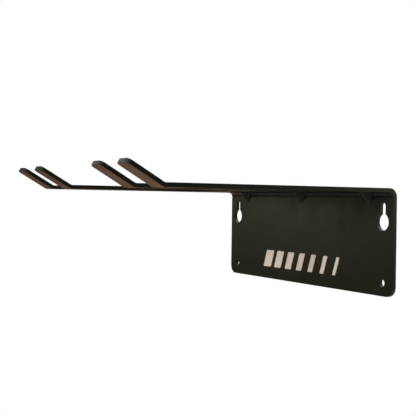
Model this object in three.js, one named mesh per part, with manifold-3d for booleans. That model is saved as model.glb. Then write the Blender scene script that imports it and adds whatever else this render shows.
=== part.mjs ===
// Wall rack for skis: one laser-cut sheet, folded into a wall plate, a shelf with two forks
// and four upturned finger ends, with a row of seven vinyl bars on the plate's front.
// Millimetres, +Z up. The wall is the plane Y = 0 and the room lies on its -Y side, X runs
// along the wall, and the origin is the middle of the wall plate's back face.

import * as THREE from 'three';
import { mergeVertices } from 'three/addons/utils/BufferGeometryUtils.js';
import Module from 'manifold-3d';

// Sheet and wall plate
const sheetThickness = 4;
const plateWidth = 300;
const plateHeight = 105.5;
const plateCornerRadius = 10;
const wallFoldRadius = 5;

// Shelf, forks and upturned finger ends
const shelfReach = 250;
const fingerWidth = 22.5;
const skiSlotWidth = 35;
const skiSlotStart = 64;
const openingStart = 98;
const innerCornerRadius = 10;
const fingerFoldRadius = 4;
const turnUpLength = 38.5;
const turnUpAngle = THREE.MathUtils.degToRad(30);
const tipCornerRadius = 5;

// Holes for four wall screws
const screwInset = 15.5;
const keyholeDiameter = 17;
const keyholeSlotWidth = 8;
const keyholeSlotRise = 15.4;
const keyholeDepth = 33;
const screwHoleDiameter = 7.5;
const screwHoleHeight = 13;

// Gussets pressed into the wall fold
const gussetSpacing = 113;
const gussetLeg = 12;
const gussetNoseRadius = 1.5;
const gussetHalfAngle = THREE.MathUtils.degToRad(32);
const gussetCount = 3;

// Vinyl bars on the plate's front
const barCount = 7;
const barThickness = 0.3;
const barHeight = 19.5;
const barWidest = 15;
const barNarrowest = 5;
const barPitch = 21;
const barSlant = THREE.MathUtils.degToRad(20);
const barBaseHeight = 14;

// One overrun for every cut, and the fineness of folds and corners, and of holes and tips
const cutOverrun = 5;
const arcSegments = 6;
const roundSegments = 12;

// Places that follow from the sizes above
const plateTop = plateHeight / 2;
const plateBottom = -plateTop;
const shelfUnderside = plateTop - sheetThickness;
const forkWidth = fingerWidth + skiSlotWidth + fingerWidth;
const foldShift = sheetThickness * Math.tan(turnUpAngle / 2);
const tipReach = shelfReach + turnUpLength;
const screwX = plateWidth / 2 - screwInset;

const alongX = new THREE.Vector3(1, 0, 0);
const alongY = new THREE.Vector3(0, 1, 0);
const alongZ = new THREE.Vector3(0, 0, 1);
const towardRoom = new THREE.Vector3(0, -1, 0);

const sheetFinish = new THREE.MeshStandardMaterial({
  color: 0x1e1f18,
  roughness: 0.45,
  metalness: 0.1,
});
const barFinish = new THREE.MeshStandardMaterial({
  color: 0xe6d8cf,
  roughness: 0.6,
  metalness: 0,
});

const wasm = await Module();
wasm.setup();

// A solid for the boolean cuts, from a closed three.js geometry.
function toSolid(geometry) {
  const bare = geometry.clone();
  bare.deleteAttribute('normal');
  bare.deleteAttribute('uv');
  const merged = mergeVertices(bare);
  return new wasm.Manifold(new wasm.Mesh({
    numProp: 3,
    vertProperties: new Float32Array(merged.attributes.position.array),
    triVerts: new Uint32Array(merged.index.array),
  }));
}

// A flat-shaded geometry from a cut solid.
function toGeometry(solid) {
  const mesh = solid.getMesh();
  const indexed = new THREE.BufferGeometry();
  indexed.setAttribute('position', new THREE.BufferAttribute(mesh.vertProperties, 3));
  indexed.setIndex(new THREE.BufferAttribute(mesh.triVerts, 1));
  const geometry = indexed.toNonIndexed();
  geometry.computeVertexNormals();
  return geometry;
}

// A closed outline through corners given as [x, y, radius], with an arc at each rounded one.
function roundedShape(corners) {
  const shape = new THREE.Shape();
  corners.forEach(([x, y, radius], index) => {
    const corner = new THREE.Vector2(x, y);
    if (!radius) {
      shape[index ? 'lineTo' : 'moveTo'](x, y);
      return;
    }
    const [lastX, lastY] = corners[(index + corners.length - 1) % corners.length];
    const [nextX, nextY] = corners[(index + 1) % corners.length];
    const back = new THREE.Vector2(lastX, lastY).sub(corner).normalize();
    const onward = new THREE.Vector2(nextX, nextY).sub(corner).normalize();
    const halfAngle = Math.acos(THREE.MathUtils.clamp(back.dot(onward), -1, 1)) / 2;
    const start = corner.clone().addScaledVector(back, radius / Math.tan(halfAngle));
    const end = corner.clone().addScaledVector(onward, radius / Math.tan(halfAngle));
    const bisector = back.clone().add(onward).normalize();
    const centre = corner.clone().addScaledVector(bisector, radius / Math.sin(halfAngle));
    const clockwise = back.cross(onward) > 0;
    shape[index ? 'lineTo' : 'moveTo'](start.x, start.y);
    shape.absarc(
      centre.x,
      centre.y,
      radius,
      start.clone().sub(centre).angle(),
      end.clone().sub(centre).angle(),
      clockwise,
    );
  });
  return shape;
}

// A prism of the shape, whose x and y run along the given axes from the given origin.
// It starts at that plane and runs for depth along the third axis.
function prism(shape, depth, xAxis, yAxis, origin, curveSegments = arcSegments) {
  const geometry = new THREE.ExtrudeGeometry(shape, {
    depth,
    bevelEnabled: false,
    curveSegments,
  });
  const depthAxis = new THREE.Vector3().crossVectors(xAxis, yAxis);
  geometry.applyMatrix4(new THREE.Matrix4().makeBasis(xAxis, yAxis, depthAxis).setPosition(origin));
  return geometry;
}

// The sheet seen from its side, from the plate's foot over both folds to a finger's tip.
// A fold's inner face has its radius, and its outer face that radius and the thickness.
function foldedProfile() {
  const rise = new THREE.Vector2(-Math.cos(turnUpAngle), Math.sin(turnUpAngle));
  const lowerFold = new THREE.Vector2(-shelfReach, shelfUnderside);
  const upperFold = new THREE.Vector2(foldShift - shelfReach, plateTop);
  const lowerTip = lowerFold.clone().addScaledVector(rise, turnUpLength);
  const upperTip = upperFold.clone().addScaledVector(rise, turnUpLength - foldShift);
  return roundedShape([
    [0, plateBottom, 0],
    [0, plateTop, wallFoldRadius + sheetThickness],
    [upperFold.x, upperFold.y, fingerFoldRadius],
    [upperTip.x, upperTip.y, 0],
    [lowerTip.x, lowerTip.y, 0],
    [lowerFold.x, lowerFold.y, fingerFoldRadius + sheetThickness],
    [-sheetThickness, shelfUnderside, wallFoldRadius],
    [-sheetThickness, plateBottom, 0],
  ]);
}

// A cut through the shelf, open toward the room, with rounded corners at its closed end.
function shelfCut(left, right, closedEnd) {
  const openEnd = tipReach + cutOverrun;
  const shape = roundedShape([
    [left, -openEnd, 0],
    [right, -openEnd, 0],
    [right, -closedEnd, innerCornerRadius],
    [left, -closedEnd, innerCornerRadius],
  ]);
  const height = turnUpLength + sheetThickness + cutOverrun + cutOverrun;
  const origin = new THREE.Vector3(0, 0, shelfUnderside - cutOverrun);
  return toSolid(prism(shape, height, alongX, alongY, origin));
}

// What lies outside a rounded corner of an outline, on the side of the corner's own signs.
function outsideCorner(cornerX, cornerY, radius) {
  const sideX = Math.sign(cornerX);
  const sideY = Math.sign(cornerY);
  const centreX = cornerX - sideX * radius;
  const centreY = cornerY - sideY * radius;
  const shape = new THREE.Shape();
  shape.moveTo(centreX, cornerY + sideY * cutOverrun);
  shape.lineTo(cornerX + sideX * cutOverrun, cornerY + sideY * cutOverrun);
  shape.lineTo(cornerX + sideX * cutOverrun, centreY);
  shape.lineTo(cornerX, centreY);
  const start = sideX > 0 ? 0 : Math.PI;
  shape.absarc(centreX, centreY, radius, start, sideY * (Math.PI / 2), sideX * sideY < 0);
  return shape;
}

// What is cut off at the two corners of a finger's end, square to its turned-up length.
function tipCuts(fingerX) {
  const rise = new THREE.Vector3(0, -Math.cos(turnUpAngle), Math.sin(turnUpAngle));
  const down = new THREE.Vector3().crossVectors(alongX, rise);
  const origin = new THREE.Vector3(fingerX, -shelfReach, shelfUnderside);
  origin.addScaledVector(down, -sheetThickness - cutOverrun);
  const depth = sheetThickness + cutOverrun + cutOverrun;
  return [-1, 1].map((side) => {
    const shape = outsideCorner(side * (fingerWidth / 2), turnUpLength, tipCornerRadius);
    return toSolid(prism(shape, depth, alongX, rise, origin, roundSegments));
  });
}

// A cut through the wall plate, drawn as seen from the room.
function plateCut(shape, x, z) {
  const depth = sheetThickness + cutOverrun + cutOverrun;
  const origin = new THREE.Vector3(x, cutOverrun, z);
  return toSolid(prism(shape, depth, alongX, alongZ, origin, roundSegments));
}

// A keyhole: a round mouth for the screw's head and a slot above it for its shank.
function keyholeShape() {
  const mouth = keyholeDiameter / 2;
  const slot = keyholeSlotWidth / 2;
  const meeting = Math.acos(slot / mouth);
  const shape = new THREE.Shape();
  shape.moveTo(slot, keyholeSlotRise);
  shape.absarc(0, keyholeSlotRise, slot, 0, Math.PI, false);
  shape.lineTo(-slot, mouth * Math.sin(meeting));
  shape.absarc(0, 0, mouth, Math.PI - meeting, meeting, false);
  return shape;
}

function circleShape(diameter) {
  return new THREE.Shape().absarc(0, 0, diameter / 2, 0, Math.PI + Math.PI, false);
}

// What is cut off at a lower corner of the plate; side is 1 at +X and -1 at -X.
function cornerCut(side) {
  return plateCut(outsideCorner(side * (plateWidth / 2), plateBottom, plateCornerRadius), 0, 0);
}

// The V of a gusset across the fold: a rounded nose between two flanks, with its virtual
// inner corner at y = 0 and the nose's top at the given depth.
function gussetShape(noseRadius, depth) {
  const peak = depth + noseRadius / Math.sin(gussetHalfAngle) - noseRadius;
  const tail = -(wallFoldRadius + sheetThickness + cutOverrun);
  const halfWidth = (peak - tail) * Math.tan(gussetHalfAngle);
  return roundedShape([
    [-halfWidth, tail, 0],
    [halfWidth, tail, 0],
    [0, peak, noseRadius],
  ]);
}

// A wedge along the diagonal between plate and shelf, which the gusset's V is drawn across.
function gussetWedge(x, noseRadius, depth) {
  const inward = new THREE.Vector3(0, -1, -1).normalize();
  const ridge = new THREE.Vector3().crossVectors(alongX, inward);
  const length = 2 * (gussetLeg + sheetThickness + cutOverrun);
  const origin = new THREE.Vector3(x, -sheetThickness, shelfUnderside);
  origin.addScaledVector(ridge, -length / 2);
  return toSolid(prism(gussetShape(noseRadius, depth), length, alongX, inward, origin));
}

// The corner in front of the plate and below the shelf, from the middle of the sheet outward.
function foldCorner() {
  const middle = sheetThickness / 2;
  const size = gussetLeg + sheetThickness + cutOverrun;
  const shape = roundedShape([
    [-middle - size, shelfUnderside + middle - size, 0],
    [-middle, shelfUnderside + middle - size, 0],
    [-middle, shelfUnderside + middle, wallFoldRadius + middle],
    [-middle - size, shelfUnderside + middle, 0],
  ]);
  const origin = new THREE.Vector3(-plateWidth / 2, 0, 0);
  return toSolid(prism(shape, plateWidth, alongY, alongZ, origin));
}

// The whole sheet: folded, then pressed into gussets, then cut.
function rackSheet() {
  const origin = new THREE.Vector3(-plateWidth / 2, 0, 0);
  let sheet = toSolid(prism(foldedProfile(), plateWidth, alongY, alongZ, origin));

  const gussetDepth = gussetLeg * Math.SQRT1_2;
  const corner = foldCorner();
  for (let index = 0; index < gussetCount; index += 1) {
    const x = (index - (gussetCount - 1) / 2) * gussetSpacing;
    const raised = gussetWedge(x, gussetNoseRadius + sheetThickness, gussetDepth);
    const pressed = gussetWedge(x, gussetNoseRadius, gussetDepth - sheetThickness);
    sheet = sheet.add(raised.intersect(corner)).subtract(pressed);
  }

  const openingEdge = plateWidth / 2 - forkWidth;
  const slotInner = openingEdge + fingerWidth;
  const slotOuter = slotInner + skiSlotWidth;
  const cuts = [
    shelfCut(-openingEdge, openingEdge, openingStart),
    shelfCut(slotInner, slotOuter, skiSlotStart),
    shelfCut(-slotOuter, -slotInner, skiSlotStart),
  ];
  for (const side of [-1, 1]) {
    cuts.push(
      ...tipCuts(side * (openingEdge + fingerWidth / 2)),
      ...tipCuts(side * (slotOuter + fingerWidth / 2)),
      plateCut(keyholeShape(), side * screwX, plateTop - keyholeDepth),
      plateCut(circleShape(screwHoleDiameter), side * screwX, plateBottom + screwHoleHeight),
      cornerCut(side),
    );
  }
  for (const cut of cuts) sheet = sheet.subtract(cut);
  return toGeometry(sheet);
}

// One slanted vinyl bar; its lower edge is centred on the origin and its back lies on Y = 0.
function barGeometry(width) {
  const lean = barHeight * Math.tan(barSlant);
  const shape = roundedShape([
    [-(width + lean) / 2, 0, 0],
    [(width - lean) / 2, 0, 0],
    [(width + lean) / 2, barHeight, 0],
    [(lean - width) / 2, barHeight, 0],
  ]);
  return prism(shape, barThickness, alongX, alongZ, new THREE.Vector3());
}

const rack = new THREE.Group();

const sheetMesh = new THREE.Mesh(rackSheet(), sheetFinish);
sheetMesh.name = 'rack_sheet';
rack.add(sheetMesh);

const markings = new THREE.Group();
markings.position.copy(towardRoom).multiplyScalar(sheetThickness);
markings.position.z = plateBottom + barBaseHeight;
for (let index = 0; index < barCount; index += 1) {
  const width = THREE.MathUtils.lerp(barWidest, barNarrowest, index / (barCount - 1));
  const bar = new THREE.Mesh(barGeometry(width), barFinish);
  bar.name = `marking_bar_${index + 1}`;
  bar.position.x = (index - (barCount - 1) / 2) * barPitch;
  markings.add(bar);
}
rack.add(markings);

export default rack;
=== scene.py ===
"""Photographic model of a folded-sheet wall rack for skis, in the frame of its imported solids.

Metres, +Z up. The wall is the plane Y = 0, the room lies on its -Y side, X runs along the
wall, and the origin is the middle of the wall plate's back face.
"""

import logging
import math
from collections.abc import Callable
from dataclasses import dataclass, field
from enum import Enum

import bpy
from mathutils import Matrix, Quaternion, Vector


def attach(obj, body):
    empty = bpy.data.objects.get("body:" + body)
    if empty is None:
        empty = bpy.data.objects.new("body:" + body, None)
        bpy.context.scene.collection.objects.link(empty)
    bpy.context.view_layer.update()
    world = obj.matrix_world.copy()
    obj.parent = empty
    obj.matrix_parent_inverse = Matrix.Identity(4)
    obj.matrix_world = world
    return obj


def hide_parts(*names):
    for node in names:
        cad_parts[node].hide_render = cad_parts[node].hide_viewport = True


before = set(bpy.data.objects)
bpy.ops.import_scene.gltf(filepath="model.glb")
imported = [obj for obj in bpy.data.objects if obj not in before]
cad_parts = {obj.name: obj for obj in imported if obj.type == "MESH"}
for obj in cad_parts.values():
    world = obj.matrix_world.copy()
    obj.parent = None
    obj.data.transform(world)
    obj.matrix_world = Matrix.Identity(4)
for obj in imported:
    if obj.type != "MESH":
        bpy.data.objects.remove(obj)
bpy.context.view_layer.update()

Point = tuple[float, float, float]
Colour = tuple[float, float, float, float]

LOG = logging.getLogger("ski_rack")
MILLIMETRE = 0.001
NEAR = 0.01 * MILLIMETRE
DOUBLED = 0.002 * MILLIMETRE
FACING = 0.99
FLAT_ANGLE = math.radians(0.05)
SMOOTH_ANGLE = math.radians(35)
SHARP_ANGLE = math.radians(40)
FLAT_FACE_WEIGHT = 80
COAT_IOR = 1.5
WHITE: Colour = (1.0, 1.0, 1.0, 1.0)
BODY = "root"
EDGE_MASK = "rounded_edge"


class Slot(Enum):
    """The record's material slots that the finishes stand for."""

    SHEET = "powder_coated_sheet"
    VINYL = "vinyl"


class Side(Enum):
    """The two sides of the rack, as factors on X."""

    LEFT = -1
    RIGHT = 1


class Socket:
    """A node's output, on which arithmetic adds the nodes that work it out."""

    def __init__(self, graph: "ShaderGraph", output: bpy.types.NodeSocket) -> None:
        """Wraps an output.

        Args:
            graph: The material's node graph.
            output: The output that is wrapped.
        """
        self.graph = graph
        self.output = output

    def _math(self, operation: str, *values: object, clamp: bool = False) -> "Socket":
        """Adds a Math node.

        Args:
            operation: The Math node's operation.
            values: Its inputs in order, numbers or sockets.
            clamp: Whether its result is kept between 0 and 1.

        Returns:
            The Math node's output.
        """
        inputs = dict(enumerate(values))
        settings = {"operation": operation, "use_clamp": clamp}
        return self.graph.node("ShaderNodeMath", settings, inputs)

    def __add__(self, other: object) -> "Socket":
        """Returns self + other."""
        return self._math("ADD", self, other)

    def __radd__(self, other: object) -> "Socket":
        """Returns other + self."""
        return self._math("ADD", other, self)

    def __sub__(self, other: object) -> "Socket":
        """Returns self - other."""
        return self._math("SUBTRACT", self, other)

    def __rsub__(self, other: object) -> "Socket":
        """Returns other - self."""
        return self._math("SUBTRACT", other, self)

    def __mul__(self, other: object) -> "Socket":
        """Returns self * other."""
        return self._math("MULTIPLY", self, other)

    def __rmul__(self, other: object) -> "Socket":
        """Returns other * self."""
        return self._math("MULTIPLY", other, self)

    def clamped(self) -> "Socket":
        """Returns the value kept between 0 and 1."""
        return self._math("ADD", self, 0.0, clamp=True)

    def band(self, low: float, high: float) -> "Socket":
        """Turns the value into a mask.

        Args:
            low: The value that becomes 0.
            high: The value that becomes 1.

        Returns:
            The mask, with a smooth step between the two.
        """
        return self.graph.node(
            "ShaderNodeMapRange",
            {"interpolation_type": "SMOOTHSTEP"},
            {"Value": self, "From Min": low, "From Max": high},
        )


class ShaderGraph:
    """The node graph of one material or of the world."""

    def __init__(self, owner: bpy.types.Material | bpy.types.World) -> None:
        """Starts an empty node tree.

        Args:
            owner: The material or world that it belongs to.
        """
        owner.use_nodes = True
        self.tree = owner.node_tree
        self.tree.nodes.clear()

    def node(
        self,
        kind: str,
        settings: dict[str, object] | None = None,
        inputs: dict[int | str, object] | None = None,
        output: int | str = 0,
    ) -> Socket | None:
        """Adds one node.

        Args:
            kind: The node's type.
            settings: Its properties, set before its inputs.
            inputs: Values or sockets for its inputs, by name or number.
            output: The output to return, by name or number.

        Returns:
            That output, or nothing where the node has none.
        """
        node = self.tree.nodes.new(kind)
        for name, value in (settings or {}).items():
            setattr(node, name, value)
        for name, value in (inputs or {}).items():
            if isinstance(value, Socket):
                self.tree.links.new(value.output, node.inputs[name])
            else:
                node.inputs[name].default_value = value
        return Socket(self, node.outputs[output]) if len(node.outputs) else None

    def mixed(self, mask: object, first: object, second: object) -> Socket:
        """Mixes two colours.

        Args:
            mask: The share of the second colour.
            first: The colour where the mask is 0.
            second: The colour where the mask is 1.

        Returns:
            The mixed colour.
        """
        inputs = {0: mask, 6: first, 7: second}
        return self.node("ShaderNodeMix", {"data_type": "RGBA"}, inputs, 2)

    def seen_directly(self) -> Socket:
        """Returns 1 for what is seen, also in a mirror or through glass, and 0 for light."""
        camera = self.node("ShaderNodeLightPath", output="Is Camera Ray")
        glossy = self.node("ShaderNodeLightPath", output="Is Glossy Ray")
        through = self.node("ShaderNodeLightPath", output="Is Transmission Ray")
        return (camera + glossy + through).clamped()

    def mask(self, name: str) -> Socket:
        """Returns the value of a mask that is stored in the mesh."""
        settings = {"attribute_type": "GEOMETRY", "attribute_name": name}
        return self.node("ShaderNodeAttribute", settings, None, "Fac")

    def noise(self, size: float, detail: float = 2.0, roughness: float = 0.5) -> Socket:
        """Adds a noise in the piece's own coordinates.

        Args:
            size: The size of its blobs in metres.
            detail: The number of finer layers.
            roughness: How strong the finer layers are.

        Returns:
            Its value, from 0 to 1.
        """
        place = self.node("ShaderNodeTexCoord", output="Object")
        inputs = {"Vector": place, "Scale": 1 / size, "Detail": detail, "Roughness": roughness}
        return self.node("ShaderNodeTexNoise", None, inputs)

    def coat(
        self, colour: Socket, roughness: Socket, grain: Socket, strength: float, height: float
    ) -> None:
        """Ends a material's graph in a grained coat.

        Args:
            colour: Its colour.
            roughness: Its roughness.
            grain: The pattern of its grain, from 0 to 1.
            strength: How strongly the grain shows.
            height: The height of the grain in metres.
        """
        relief = {"Strength": strength, "Distance": height, "Height": grain}
        bump = self.node("ShaderNodeBump", None, relief)
        inputs = {"Base Color": colour, "Roughness": roughness, "Normal": bump, "IOR": COAT_IOR}
        surface = self.node("ShaderNodeBsdfPrincipled", None, inputs)
        self.node("ShaderNodeOutputMaterial", None, {"Surface": surface})


@dataclass(frozen=True)
class PowderCoat:
    """Semi-gloss black powder coat with fine grain, handling marks and rubbed edges."""

    base: Colour = (0.0060, 0.0064, 0.0038, 1.0)
    cloud: Colour = (0.0085, 0.0088, 0.0056, 1.0)
    rubbed: Colour = (0.075, 0.073, 0.064, 1.0)
    cloud_size: float = 60 * MILLIMETRE
    handling_size: float = 22 * MILLIMETRE
    rub_size: float = 7 * MILLIMETRE
    grain_size: float = 0.9 * MILLIMETRE
    cloud_band: tuple[float, float] = (0.35, 0.7)
    handling_band: tuple[float, float] = (0.4, 0.75)
    rub_band: tuple[float, float] = (0.42, 0.68)
    roughness: float = 0.27
    roughness_swing: float = 0.16
    grain_share: float = 0.4
    cloud_share: float = 0.3
    handling_share: float = 0.3
    rub_share: float = 0.5
    grain_strength: float = 0.4
    grain_height: float = 0.08 * MILLIMETRE

    def material(self) -> bpy.types.Material:
        """Makes the finish.

        Returns:
            The powder coat as a material.
        """
        material = bpy.data.materials.new("powder_coat_black")
        graph = ShaderGraph(material)
        clouds = graph.noise(self.cloud_size, detail=4.0).band(*self.cloud_band)
        grain = graph.noise(self.grain_size, detail=3.0, roughness=0.6)
        handling = graph.noise(self.handling_size, detail=5.0, roughness=0.65)
        handled = handling.band(*self.handling_band)
        rubs = graph.noise(self.rub_size, detail=4.0).band(*self.rub_band)
        rubbed_edge = graph.mask(EDGE_MASK) * rubs
        coat = graph.mixed(clouds, self.base, self.cloud)
        colour = graph.mixed(rubbed_edge, coat, self.rubbed)
        dull = grain * self.grain_share + clouds * self.cloud_share + handled * self.handling_share
        variation = dull - rubbed_edge * self.rub_share
        roughness = self.roughness + self.roughness_swing * variation
        graph.coat(colour, roughness, grain, self.grain_strength, self.grain_height)
        return material


@dataclass(frozen=True)
class CutVinyl:
    """Satin cream vinyl film."""

    base: Colour = (0.70, 0.59, 0.50, 1.0)
    dull: Colour = (0.61, 0.51, 0.42, 1.0)
    blotch_size: float = 9 * MILLIMETRE
    grain_size: float = 0.6 * MILLIMETRE
    blotch_band: tuple[float, float] = (0.3, 0.75)
    roughness: float = 0.48
    roughness_swing: float = 0.14
    grain_strength: float = 0.10
    grain_height: float = 0.03 * MILLIMETRE

    def material(self) -> bpy.types.Material:
        """Makes the finish.

        Returns:
            The vinyl as a material.
        """
        material = bpy.data.materials.new("vinyl_cream")
        graph = ShaderGraph(material)
        blotches = graph.noise(self.blotch_size, detail=3.0)
        grain = graph.noise(self.grain_size)
        colour = graph.mixed(blotches.band(*self.blotch_band), self.base, self.dull)
        roughness = self.roughness + self.roughness_swing * blotches
        graph.coat(colour, roughness, grain, self.grain_strength, self.grain_height)
        return material


def leave_edit() -> None:
    """Goes back to object mode."""
    if bpy.context.object and bpy.context.object.mode != "OBJECT":
        bpy.ops.object.mode_set(mode="OBJECT")


def select_only(*pieces: bpy.types.Object) -> None:
    """Selects these objects and nothing else, and makes the first one active."""
    leave_edit()
    bpy.ops.object.select_all(action="DESELECT")
    for piece in pieces:
        piece.select_set(True)
    if pieces:
        bpy.context.view_layer.objects.active = pieces[0]


def enter_edit(piece: bpy.types.Object, kind: str, chosen: list[bool]) -> None:
    """Enters edit mode with only the chosen faces or edges selected.

    Args:
        piece: The piece to edit.
        kind: FACE or EDGE.
        chosen: Whether each face or edge of the piece is taken.
    """
    select_only(piece)
    mesh = piece.data
    mesh.vertices.foreach_set("select", [False] * len(mesh.vertices))
    mesh.edges.foreach_set("select", [False] * len(mesh.edges))
    mesh.polygons.foreach_set("select", [False] * len(mesh.polygons))
    (mesh.polygons if kind == "FACE" else mesh.edges).foreach_set("select", chosen)
    bpy.ops.object.mode_set(mode="EDIT")
    bpy.ops.mesh.select_mode(type=kind)


def pick_faces(piece: bpy.types.Object, test: Callable[[bpy.types.MeshPolygon], bool]) -> None:
    """Enters edit mode with only the faces selected that pass a test.

    Args:
        piece: The piece to edit.
        test: Tells whether a face is taken.
    """
    leave_edit()
    enter_edit(piece, "FACE", [test(face) for face in piece.data.polygons])


def pick_edges(piece: bpy.types.Object, test: Callable[[Vector, Vector], bool]) -> int:
    """Enters edit mode with only the edges selected whose two ends pass a test.

    Args:
        piece: The piece to edit.
        test: Tells from an edge's two ends whether it is taken.

    Returns:
        The number of edges selected.
    """
    leave_edit()
    spots = [vertex.co for vertex in piece.data.vertices]
    ends = [edge.vertices for edge in piece.data.edges]
    chosen = [test(spots[a], spots[b]) for a, b in ends]
    enter_edit(piece, "EDGE", chosen)
    return sum(chosen)


def extrude(step: Vector) -> None:
    """Pulls the selected faces out by a step."""
    bpy.ops.mesh.extrude_region_move(TRANSFORM_OT_translate={"value": tuple(step)})


def apply_place() -> None:
    """Moves the active object's place, turn and scale into its mesh."""
    bpy.ops.object.transform_apply(location=True, rotation=True, scale=True)


def add_block(name: str, size: Point, centre: Point) -> bpy.types.Object:
    """Adds a block.

    Args:
        name: Its name.
        size: Its lengths along X, Y and Z.
        centre: Its middle.

    Returns:
        The block, with its place in its mesh.
    """
    select_only()
    bpy.ops.mesh.primitive_cube_add(size=1.0, location=centre, scale=size)
    block = bpy.context.object
    block.name = name
    apply_place()
    return block


def add_rod(
    name: str, radius: float, length: float, centre: Point, sides: int
) -> bpy.types.Object:
    """Adds a round rod that lies along Y.

    Args:
        name: Its name.
        radius: Its radius.
        length: Its length along Y.
        centre: Its middle.
        sides: The number of faces round it.

    Returns:
        The rod, with its place in its mesh.
    """
    select_only()
    bpy.ops.mesh.primitive_cylinder_add(
        vertices=sides,
        radius=radius,
        depth=length,
        location=centre,
        rotation=(math.pi / 2, 0.0, 0.0),
    )
    rod = bpy.context.object
    rod.name = name
    apply_place()
    return rod


def copy_along_x(piece: bpy.types.Object, shift: float) -> bpy.types.Object:
    """Copies a piece with its own mesh.

    Args:
        piece: The piece to copy.
        shift: How far along X the copy lies.

    Returns:
        The copy.
    """
    select_only(piece)
    bpy.ops.object.duplicate(linked=False)
    copy = bpy.context.object
    copy.location.x += shift
    apply_place()
    return copy


def combine(piece: bpy.types.Object, tool: bpy.types.Object, operation: str) -> None:
    """Joins a tool to a piece, cuts it out or keeps what both share, and removes the tool.

    Args:
        piece: The piece, whose mesh is changed.
        tool: The other solid.
        operation: UNION, DIFFERENCE or INTERSECT.
    """
    select_only(piece)
    boolean = piece.modifiers.new("combine", "BOOLEAN")
    boolean.operation = operation
    boolean.solver = "EXACT"
    boolean.object = tool
    bpy.ops.object.modifier_apply(modifier=boolean.name)
    bpy.data.objects.remove(tool)


def bevel_edges(
    piece: bpy.types.Object,
    test: Callable[[Vector, Vector], bool],
    setback: float,
    segments: int,
) -> int:
    """Rounds the edges of a piece that pass a test.

    Args:
        piece: The piece, whose mesh is changed.
        test: Tells from an edge's two ends whether it is taken.
        setback: How far from the edge the rounding starts.
        segments: The number of faces across the rounding.

    Returns:
        The number of edges rounded.
    """
    count = pick_edges(piece, test)
    bpy.ops.mesh.bevel(
        offset_type="OFFSET",
        offset=setback,
        segments=segments,
        affect="EDGES",
        clamp_overlap=False,
    )
    leave_edit()
    return count


def merge_flat(piece: bpy.types.Object) -> None:
    """Merges doubled vertices and faces that lie in one plane, and turns normals outward."""
    select_only(piece)
    bpy.ops.object.mode_set(mode="EDIT")
    bpy.ops.mesh.select_all(action="SELECT")
    bpy.ops.mesh.remove_doubles(threshold=DOUBLED)
    bpy.ops.mesh.dissolve_limited(angle_limit=FLAT_ANGLE)
    bpy.ops.mesh.normals_make_consistent(inside=False)
    leave_edit()


def finish_mesh(piece: bpy.types.Object, edge_radius: float, segments: int = 2) -> None:
    """Rounds a piece's sharp edges, marks the rounding in a mask and smooths the rest.

    Args:
        piece: The piece, whose mesh is changed.
        edge_radius: The greatest width of the rounding in metres. The clamp narrows the whole
            piece's rounding to what its shortest edge leaves room for, so on the sheet, with
            its short edges at the keyholes' necks, it comes out at 0.008 mm.
        segments: The number of faces across the rounding.
    """
    select_only(piece)
    piece.data.materials.append(None)
    piece.data.materials.append(None)
    bevel = piece.modifiers.new("edges", "BEVEL")
    bevel.width = edge_radius
    bevel.segments = segments
    bevel.limit_method = "ANGLE"
    bevel.angle_limit = SHARP_ANGLE
    bevel.harden_normals = False
    bevel.use_clamp_overlap = True
    bevel.miter_outer = "MITER_ARC"
    bevel.material = 1
    bpy.ops.object.modifier_apply(modifier=bevel.name)
    mesh = piece.data
    rounded = [float(face.material_index) for face in mesh.polygons]
    mesh.attributes.new(EDGE_MASK, "FLOAT", "FACE").data.foreach_set("value", rounded)
    mesh.polygons.foreach_set("material_index", [0] * len(mesh.polygons))
    mesh.materials.clear()
    bpy.ops.object.shade_smooth_by_angle(angle=SMOOTH_ANGLE)
    weighted = piece.modifiers.new("flat_faces", "WEIGHTED_NORMAL")
    weighted.keep_sharp = True
    weighted.weight = FLAT_FACE_WEIGHT
    bpy.ops.object.modifier_apply(modifier=weighted.name)


def hand_over(piece: bpy.types.Object, node: str, finish: bpy.types.Material) -> None:
    """Dresses a finished piece and puts it in the place of its solid.

    Args:
        piece: The piece.
        node: The solid that it replaces.
        finish: Its material.
    """
    piece.data.materials.clear()
    piece.data.materials.append(finish)
    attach(piece, BODY)
    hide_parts(node)
    LOG.info("%s: %d faces", piece.name, len(piece.data.polygons))


@dataclass(frozen=True)
class ScrewOpenings:
    """The keyholes and the round screw holes in the wall plate's corners."""

    inset: float = 15.5 * MILLIMETRE
    mouth_radius: float = 8.5 * MILLIMETRE
    mouth_depth: float = 33 * MILLIMETRE
    slot_width: float = 8 * MILLIMETRE
    slot_rise: float = 15.4 * MILLIMETRE
    hole_radius: float = 3.75 * MILLIMETRE
    hole_height: float = 13 * MILLIMETRE
    cutter_length: float = 20 * MILLIMETRE
    sides: int = 64

    def cut(self, sheet: bpy.types.Object, width: float, height: float) -> None:
        """Cuts the four openings.

        Args:
            sheet: The sheet, whose mesh is changed.
            width: The plate's width.
            height: The plate's height, with its middle at the origin.
        """
        mouth = height / 2 - self.mouth_depth
        slot_top = mouth + self.slot_rise
        hole = -height / 2 + self.hole_height
        for side in Side:
            x = side.value * (width / 2 - self.inset)
            for radius, z in (
                (self.mouth_radius, mouth),
                (self.slot_width / 2, slot_top),
                (self.hole_radius, hole),
            ):
                rod = add_rod("drill", radius, self.cutter_length, (x, 0.0, z), self.sides)
                combine(sheet, rod, "DIFFERENCE")
            size = (self.slot_width, self.cutter_length, self.slot_rise)
            punch = add_block("punch", size, (x, 0.0, (mouth + slot_top) / 2))
            combine(sheet, punch, "DIFFERENCE")


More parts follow.
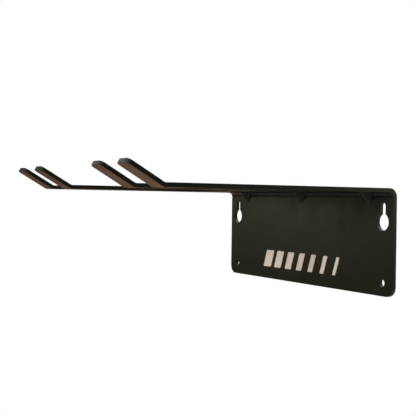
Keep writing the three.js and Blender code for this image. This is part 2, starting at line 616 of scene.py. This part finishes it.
@dataclass(frozen=True)
class PressedGusset:
    """A rib pressed into the fold from behind, so that the sheet keeps its thickness."""

    leg: float = 12 * MILLIMETRE
    nose_radius: float = 1.5 * MILLIMETRE
    half_angle: float = math.radians(32)
    overrun: float = 5 * MILLIMETRE
    nose_segments: int = 8
    tilt: float = math.radians(135)

    def wedge(self, sheet: "RackSheet", radius: float, depth: float) -> bpy.types.Object:
        """Models a long wedge with a round nose, laid across the fold at X = 0.

        Args:
            sheet: The sheet's sizes.
            radius: The radius of its nose.
            depth: How far its nose stands out from the fold's sharp inner corner.

        Returns:
            The wedge.
        """
        setback = radius / math.tan(self.half_angle)
        peak = depth + (2 - math.sqrt(2)) * math.cos(self.half_angle) * setback
        tail = -(sheet.fold_radius + sheet.thickness + self.overrun)
        height = peak - tail
        width = 2 * height * math.tan(self.half_angle)
        length = 2 * (self.leg + sheet.thickness + self.overrun)
        wedge = add_block("wedge", (width, length, height), (0.0, 0.0, (peak + tail) / 2))
        pick_faces(wedge, lambda face: face.normal.z > FACING)
        bpy.ops.transform.resize(value=(0.0, 1.0, 1.0))
        bpy.ops.mesh.select_all(action="SELECT")
        bpy.ops.mesh.remove_doubles(threshold=NEAR)
        ridge = peak - NEAR
        bevel_edges(wedge, lambda a, b: min(a.z, b.z) > ridge, setback, self.nose_segments)
        wedge.rotation_euler.x = self.tilt
        wedge.location = (0.0, -sheet.thickness, sheet.shelf_underside)
        select_only(wedge)
        apply_place()
        return wedge

    def corner(self, sheet: "RackSheet") -> bpy.types.Object:
        """Models the space inside the fold's middle surface, which bounds the raised rib.

        Args:
            sheet: The sheet's sizes.

        Returns:
            The space as a block with one rounded edge.
        """
        middle = sheet.thickness / 2
        size = self.leg + sheet.thickness + self.overrun
        top = sheet.shelf_underside + middle
        centre = (0.0, -middle - size / 2, top - size / 2)
        corner = add_block("fold_space", (sheet.width, size, size), centre)

        def at_fold(a: Vector, b: Vector) -> bool:
            """Tells whether an edge runs along the fold."""
            return min(a.y, b.y) > -middle - NEAR and min(a.z, b.z) > top - NEAR

        bevel_edges(corner, at_fold, sheet.fold_radius + middle, self.nose_segments)
        return corner

    def press(self, piece: bpy.types.Object, sheet: "RackSheet", places: list[float]) -> None:
        """Presses the gussets into the sheet.

        Args:
            piece: The sheet, whose mesh is changed.
            sheet: The sheet's sizes.
            places: Where the gussets stand along X.
        """
        depth = self.leg / math.sqrt(2)
        raised = self.wedge(sheet, self.nose_radius + sheet.thickness, depth)
        combine(raised, self.corner(sheet), "INTERSECT")
        pressed = self.wedge(sheet, self.nose_radius, depth - sheet.thickness)
        for x in places:
            combine(piece, copy_along_x(raised, x), "UNION")
            combine(piece, copy_along_x(pressed, x), "DIFFERENCE")
        bpy.data.objects.remove(raised)
        bpy.data.objects.remove(pressed)


@dataclass
class RackSheet:
    """The one folded sheet: wall plate, gussets, shelf, forks and upturned finger ends."""

    node: str = "rack_sheet"
    thickness: float = 4 * MILLIMETRE
    width: float = 300 * MILLIMETRE
    height: float = 105.5 * MILLIMETRE
    plate_corner: float = 10 * MILLIMETRE
    fold_radius: float = 5 * MILLIMETRE
    fold_steps: int = 12
    reach: float = 250 * MILLIMETRE
    finger_width: float = 22.5 * MILLIMETRE
    slot_width: float = 35 * MILLIMETRE
    slot_start: float = 64 * MILLIMETRE
    opening_start: float = 98 * MILLIMETRE
    inner_corner: float = 10 * MILLIMETRE
    finger_fold_radius: float = 4 * MILLIMETRE
    finger_fold_steps: int = 8
    turn_up: float = 38.5 * MILLIMETRE
    turn_up_angle: float = math.radians(30)
    tip_corner: float = 5 * MILLIMETRE
    corner_segments: int = 12
    gusset_spacing: float = 113 * MILLIMETRE
    edge_radius: float = 0.45 * MILLIMETRE
    openings: ScrewOpenings = field(default_factory=ScrewOpenings)
    gusset: PressedGusset = field(default_factory=PressedGusset)
    finish: PowderCoat = field(default_factory=PowderCoat)

    @property
    def shelf_underside(self) -> float:
        """Returns the height of the shelf's underside."""
        return self.height / 2 - self.thickness

    @property
    def slot_outer(self) -> float:
        """Returns the X of a ski slot's outer side."""
        return self.width / 2 - self.finger_width

    @property
    def slot_inner(self) -> float:
        """Returns the X of a ski slot's inner side."""
        return self.slot_outer - self.slot_width

    @property
    def opening_side(self) -> float:
        """Returns the X of the central opening's side."""
        return self.slot_inner - self.finger_width

    @property
    def finger_fold_setback(self) -> float:
        """Returns how far the finger's fold starts before its sharp corner."""
        return (self.finger_fold_radius + self.thickness) * math.tan(self.turn_up_angle / 2)

    @property
    def rise(self) -> Vector:
        """Returns the direction in which the finger ends run."""
        return Vector((0.0, -math.cos(self.turn_up_angle), math.sin(self.turn_up_angle)))

    def pick_end_faces(
        self, piece: bpy.types.Object, reach: float, test: Callable[[float], bool]
    ) -> None:
        """Enters edit mode with faces selected at the shelf's growing end.

        Args:
            piece: The sheet.
            reach: How far from the wall the end lies.
            test: Tells from a face's distance from the middle whether it is taken.
        """

        def taken(face: bpy.types.MeshPolygon) -> bool:
            """Tells whether a face looks into the room, lies at the end and passes the test."""
            at_end = face.normal.y < -FACING and abs(face.center.y + reach) < NEAR
            return at_end and test(abs(face.center.x))

        pick_faces(piece, taken)

    def plate(self) -> bpy.types.Object:
        """Models the flat part of the wall plate, parted where the shelf is slotted.

        Returns:
            The plate.
        """
        top = self.height / 2 - self.thickness - self.fold_radius
        foot = -self.height / 2
        size = (self.width, self.thickness, top - foot)
        centre = (0.0, -self.thickness / 2, (top + foot) / 2)
        piece = add_block("folded_sheet", size, centre)
        bpy.ops.object.mode_set(mode="EDIT")
        for x in (self.opening_side, self.slot_inner, self.slot_outer):
            for side in Side:
                bpy.ops.mesh.select_all(action="SELECT")
                bpy.ops.mesh.bisect(
                    plane_co=(side.value * x, 0.0, 0.0), plane_no=(1.0, 0.0, 0.0)
                )
        leave_edit()
        return piece

    def fold_over(self, piece: bpy.types.Object) -> None:
        """Spins the plate's top through the fold into the shelf."""
        start = self.thickness + self.fold_radius
        top = self.height / 2 - start
        pick_faces(piece, lambda face: face.normal.z > FACING)
        bpy.ops.mesh.spin(
            steps=self.fold_steps,
            angle=-math.pi / 2,
            center=(0.0, -start, top),
            axis=(1.0, 0.0, 0.0),
        )
        leave_edit()

    def draw_shelf(self, piece: bpy.types.Object) -> None:
        """Draws out the shelf, round the closed ends of its slots and its opening."""
        start = self.thickness + self.fold_radius
        fold_start = self.reach - self.finger_fold_setback
        for at, to, test in (
            (start, self.slot_start, lambda x: True),
            (
                self.slot_start,
                self.opening_start,
                lambda x: not self.slot_inner < x < self.slot_outer,
            ),
            (self.opening_start, fold_start, lambda x: x > self.opening_side),
        ):
            self.pick_end_faces(piece, at, test)
            extrude(Vector((0.0, at - to, 0.0)))
            leave_edit()

    def turn_up_fingers(self, piece: bpy.types.Object) -> None:
        """Spins the fingers' ends upward and draws them out."""
        fold_start = self.reach - self.finger_fold_setback
        self.pick_end_faces(piece, fold_start, lambda x: True)
        bpy.ops.mesh.spin(
            steps=self.finger_fold_steps,
            angle=self.turn_up_angle,
            center=(0.0, -fold_start, self.height / 2 + self.finger_fold_radius),
            axis=(1.0, 0.0, 0.0),
        )
        extrude(self.rise * (self.turn_up - self.finger_fold_setback))
        leave_edit()
        merge_flat(piece)

    def round_corners(self, piece: bpy.types.Object) -> None:
        """Rounds the corners that the cutting path rounds."""
        foot = -self.height / 2
        tip = Vector((0.0, -self.reach, self.shelf_underside)) + self.rise * self.turn_up

        def stands_at(a: Vector, b: Vector, x: float, reach: float) -> bool:
            """Tells whether an edge crosses the shelf's thickness at one spot."""
            spots = all(abs(abs(v.x) - x) < NEAR and abs(v.y + reach) < NEAR for v in (a, b))
            return spots and abs(a.z - b.z) > self.thickness / 2

        def at_closed_end(a: Vector, b: Vector) -> bool:
            """Tells whether an edge is a corner of a slot's or the opening's closed end."""
            slots = (self.slot_inner, self.slot_outer)
            return stands_at(a, b, self.opening_side, self.opening_start) or any(
                stands_at(a, b, x, self.slot_start) for x in slots
            )

        def at_plate_foot(a: Vector, b: Vector) -> bool:
            """Tells whether an edge is one of the plate's lower corners."""
            low = max(a.z, b.z) < foot + NEAR
            return low and abs(a.x - b.x) < NEAR and abs(abs(a.x) - self.width / 2) < NEAR

        def at_tip(a: Vector, b: Vector) -> bool:
            """Tells whether an edge is a corner of a finger's end."""
            ends = all(abs((v - tip).dot(self.rise)) < NEAR for v in (a, b))
            return ends and abs(a.x - b.x) < NEAR

        for test, radius in (
            (at_closed_end, self.inner_corner),
            (at_plate_foot, self.plate_corner),
            (at_tip, self.tip_corner),
        ):
            count = bevel_edges(piece, test, radius, self.corner_segments)
            LOG.info("%d corners of %.1f mm", count, radius / MILLIMETRE)

    def build(self) -> bpy.types.Object:
        """Builds and dresses the sheet.

        Returns:
            The finished piece.
        """
        sheet = self.plate()
        self.fold_over(sheet)
        self.draw_shelf(sheet)
        self.turn_up_fingers(sheet)
        self.round_corners(sheet)
        self.openings.cut(sheet, self.width, self.height)
        places = [self.gusset_spacing * step for step in (-1, 0, 1)]
        self.gusset.press(sheet, self, places)
        merge_flat(sheet)
        finish_mesh(sheet, self.edge_radius)
        hand_over(sheet, self.node, self.finish.material())
        return sheet


@dataclass
class MarkingBars:
    """The row of slanted vinyl bars on the plate's front."""

    count: int = 7
    pitch: float = 21 * MILLIMETRE
    widest: float = 15 * MILLIMETRE
    narrowest: float = 5 * MILLIMETRE
    height: float = 19.5 * MILLIMETRE
    film: float = 0.3 * MILLIMETRE
    slant: float = math.radians(20)
    base_height: float = 14 * MILLIMETRE
    corner_radius: float = 0.8 * MILLIMETRE
    corner_segments: int = 5
    edge_radius: float = 0.08 * MILLIMETRE
    sheet: RackSheet = field(default_factory=RackSheet)
    finish: CutVinyl = field(default_factory=CutVinyl)

    def bar(self, index: int) -> bpy.types.Object:
        """Models one bar.

        Args:
            index: Its place in the row, from 0 at the left.

        Returns:
            The bar.
        """
        share = index / (self.count - 1)
        width = self.widest + (self.narrowest - self.widest) * share
        x = (index - (self.count - 1) / 2) * self.pitch
        low = self.base_height - self.sheet.height / 2
        back = -self.sheet.thickness
        lean = self.height * math.tan(self.slant)
        centre = (x - lean / 2, back - self.film / 2, low + self.height / 2)
        bar = add_block(f"vinyl_bar_{index + 1}", (width, self.film, self.height), centre)
        pick_faces(bar, lambda face: face.normal.z > FACING)
        bpy.ops.transform.translate(value=(lean, 0.0, 0.0))
        leave_edit()
        bevel_edges(
            bar,
            lambda a, b: abs(a.y - b.y) > self.film / 2,
            self.corner_radius,
            self.corner_segments,
        )
        return bar

    def build(self) -> list[bpy.types.Object]:
        """Builds and dresses the bars.

        Returns:
            The finished bars, from left to right.
        """
        material = self.finish.material()
        bars = [self.bar(index) for index in range(self.count)]
        for number, bar in enumerate(bars, 1):
            finish_mesh(bar, self.edge_radius)
            hand_over(bar, f"marking_bar_{number}", material)
        return bars


@dataclass(frozen=True)
class PhotoCamera:
    """The camera of the photograph, as fitted to the rack's edges."""

    place: Point = (0.7387, -0.5413, 0.0379)
    heading: tuple[float, float] = (-0.8707, 0.4917)
    pitch: float = math.radians(0.07)
    roll: float = math.radians(0.826)
    focal_pixels: float = 809.5
    frame_pixels: float = 416.0
    axis_rise_pixels: float = 8.0
    sensor: float = 36.0
    nearest: float = 0.01
    farthest: float = 100.0

    def build(self) -> bpy.types.Object:
        """Makes the scene's camera.

        Returns:
            The camera.
        """
        data = bpy.data.cameras.new("photo_camera")
        data.sensor_width = self.sensor
        data.sensor_fit = "HORIZONTAL"
        data.lens = self.focal_pixels / self.frame_pixels * self.sensor
        data.shift_y = -self.axis_rise_pixels / self.frame_pixels
        data.clip_start = self.nearest
        data.clip_end = self.farthest
        camera = bpy.data.objects.new("photo_camera", data)
        bpy.context.scene.collection.objects.link(camera)
        camera.location = self.place
        ahead = Vector((*self.heading, math.tan(self.pitch))).normalized()
        turn = Quaternion((0.0, 0.0, 1.0), self.roll)
        camera.rotation_mode = "QUATERNION"
        camera.rotation_quaternion = ahead.to_track_quat("-Z", "Y") @ turn
        bpy.context.scene.camera = camera
        return camera


@dataclass(frozen=True)
class SoftLamp:
    """One square soft lamp that shines toward a point, mirrored in the coat or not."""

    name: str
    place: Point
    toward: Point
    size: float
    power: float
    mirrored: bool = True

    def build(self) -> bpy.types.Object:
        """Makes the lamp.

        Returns:
            The lamp.
        """
        data = bpy.data.lights.new(self.name, "AREA")
        data.shape = "SQUARE"
        data.size = self.size
        data.energy = self.power
        lamp = bpy.data.objects.new(self.name, data)
        bpy.context.scene.collection.objects.link(lamp)
        lamp.location = self.place
        ahead = Vector(self.toward) - Vector(self.place)
        lamp.rotation_mode = "QUATERNION"
        lamp.rotation_quaternion = ahead.to_track_quat("-Z", "Y")
        lamp.visible_camera = False
        lamp.visible_glossy = self.mirrored
        return lamp


@dataclass(frozen=True)
class CurvedBoard:
    """A curved reflector board that stands or lies round the rack and shows only in the coat.

    Its start and end are degrees round +Z from +X, and its heights are metres from the middle
    of the wall plate. One whose foot has another radius is a cone.
    """

    name: str
    start: float
    end: float
    low: float
    high: float
    colour: Colour
    strength: float
    radius: float = 2.4
    foot_radius: float | None = None
    steps: int = 120

    def build(self) -> bpy.types.Object:
        """Makes the board from a tube or cone by taking away the faces outside its arc.

        Returns:
            The board.
        """
        select_only()
        bpy.ops.mesh.primitive_cone_add(
            vertices=self.steps,
            radius1=self.radius if self.foot_radius is None else self.foot_radius,
            radius2=self.radius,
            depth=self.high - self.low,
            end_fill_type="NOTHING",
            location=(0.0, 0.0, (self.low + self.high) / 2),
        )
        board = bpy.context.object
        board.name = self.name
        middle = (self.start + self.end) / 2
        half = (self.end - self.start) / 2

        def outside(face: bpy.types.MeshPolygon) -> bool:
            """Tells whether a face lies outside the board's arc."""
            bearing = math.degrees(math.atan2(face.center.y, face.center.x))
            return abs((bearing - middle + 180.0) % 360.0 - 180.0) > half

        pick_faces(board, outside)
        bpy.ops.mesh.delete(type="FACE")
        leave_edit()
        material = bpy.data.materials.new(self.name)
        graph = ShaderGraph(material)
        glow = {"Color": self.colour, "Strength": self.strength}
        light = graph.node("ShaderNodeEmission", None, glow)
        graph.node("ShaderNodeOutputMaterial", None, {"Surface": light})
        board.data.materials.append(material)
        board.visible_camera = False
        board.visible_diffuse = False
        board.visible_shadow = False
        return board


@dataclass
class Studio:
    """Floor, surroundings, reflector boards and lamps."""

    floor_depth: float = 1.4
    floor_radius: float = 4.2
    floor_sides: int = 96
    floor_colour: Colour = (0.80, 0.79, 0.77, 1.0)
    floor_glow: Colour = (0.96, 0.96, 0.95, 1.0)
    glow_share: float = 0.65
    room_light: Colour = (1.0, 0.98, 0.95, 1.0)
    room_strength: float = 0.35

    def build(self) -> None:
        """Makes the floor, the world, the boards and the lamps."""
        self.floor()
        self.world()
        for item in [*self.boards(), *self.lamps()]:
            item.build()
            LOG.info("%s placed", item.name)

    def boards(self) -> list[CurvedBoard]:
        """Returns the boards that the coat mirrors."""
        olive, warm = (1.0, 1.0, 0.67, 1.0), (1.0, 0.55, 0.34, 1.0)
        dark = (1.0, 1.0, 0.9, 1.0)
        return [
            CurvedBoard("dark_board", 203.0, 415.0, -1.4, 2.2, dark, 0.02, 2.6),
            CurvedBoard("dark_board_left", 115.0, 203.0, -1.4, 0.95, dark, 0.02, 2.6),
            CurvedBoard("dark_board_low", 110.0, 203.0, -1.39, -0.97, dark, 0.02, 1.6),
            CurvedBoard("dark_card", 96.0, 455.0, -1.39, -1.38, dark, 0.25, 1.6, 0.1),
            CurvedBoard("dark_card_wide", 203.0, 415.0, -1.39, -1.38, dark, 0.25, 2.6, 1.6),
            CurvedBoard("soft_board", 213.0, 222.0, -0.06, 0.69, olive, 2.2),
            CurvedBoard("soft_board_high", 229.0, 275.0, 0.69, 1.40, olive, 1.2),
            CurvedBoard("side_board", 403.0, 413.0, -0.03, 0.29, olive, 2.6),
            CurvedBoard("warm_board", 157.0, 181.0, -1.38, -0.83, warm, 0.79),
            CurvedBoard("warm_board_high", 157.0, 196.0, -0.82, -0.25, warm, 0.38),
            CurvedBoard("far_board", 149.0, 168.0, -0.25, 0.40, warm, 0.5),
        ]

    def lamps(self) -> list[SoftLamp]:
        """Returns the lamps of the studio."""
        return [
            SoftLamp("key_lamp", (1.2, -2.0, 0.9), (0.0, 0.0, 0.0), 1.2, 50.0, mirrored=False),
            SoftLamp("top_lamp", (-0.3, -0.3, 2.2), (0.0, -0.1, 0.0), 2.8, 54.0),
        ]

    def floor(self) -> bpy.types.Object:
        """Makes the plain floor.

        Returns:
            The floor.
        """
        select_only()
        bpy.ops.mesh.primitive_circle_add(
            vertices=self.floor_sides,
            radius=self.floor_radius,
            fill_type="NGON",
            location=(0.0, 0.0, -self.floor_depth),
        )
        floor = bpy.context.object
        floor.name = "floor"
        material = bpy.data.materials.new("floor_plain")
        graph = ShaderGraph(material)
        plain = graph.node("ShaderNodeBsdfDiffuse", None, {"Color": self.floor_colour})
        glow = graph.node("ShaderNodeEmission", None, {"Color": self.floor_glow})
        share = graph.seen_directly() * self.glow_share
        surface = graph.node("ShaderNodeMixShader", None, {0: share, 1: plain, 2: glow})
        graph.node("ShaderNodeOutputMaterial", None, {"Surface": surface})
        floor.data.materials.append(material)
        return floor

    def world(self) -> None:
        """Makes the surroundings: white to the camera and in reflections, soft as a light."""
        world = bpy.data.worlds.new("surroundings")
        bpy.context.scene.world = world
        graph = ShaderGraph(world)
        room = {"Color": self.room_light, "Strength": self.room_strength}
        light = graph.node("ShaderNodeBackground", None, room)
        white = graph.node("ShaderNodeBackground", None, {"Color": WHITE, "Strength": 1.0})
        share = graph.seen_directly()
        both = graph.node("ShaderNodeMixShader", None, {0: share, 1: light, 2: white})
        graph.node("ShaderNodeOutputWorld", None, {"Surface": both})


def main() -> None:
    """Builds the camera, the studio and the rack."""
    logging.basicConfig(level=logging.INFO, format="%(name)s: %(message)s")
    scene = bpy.context.scene
    scene.view_settings.view_transform = "Standard"
    PhotoCamera().build()
    Studio().build()
    RackSheet().build()
    MarkingBars().build()


if __name__ == "__main__":
    main()
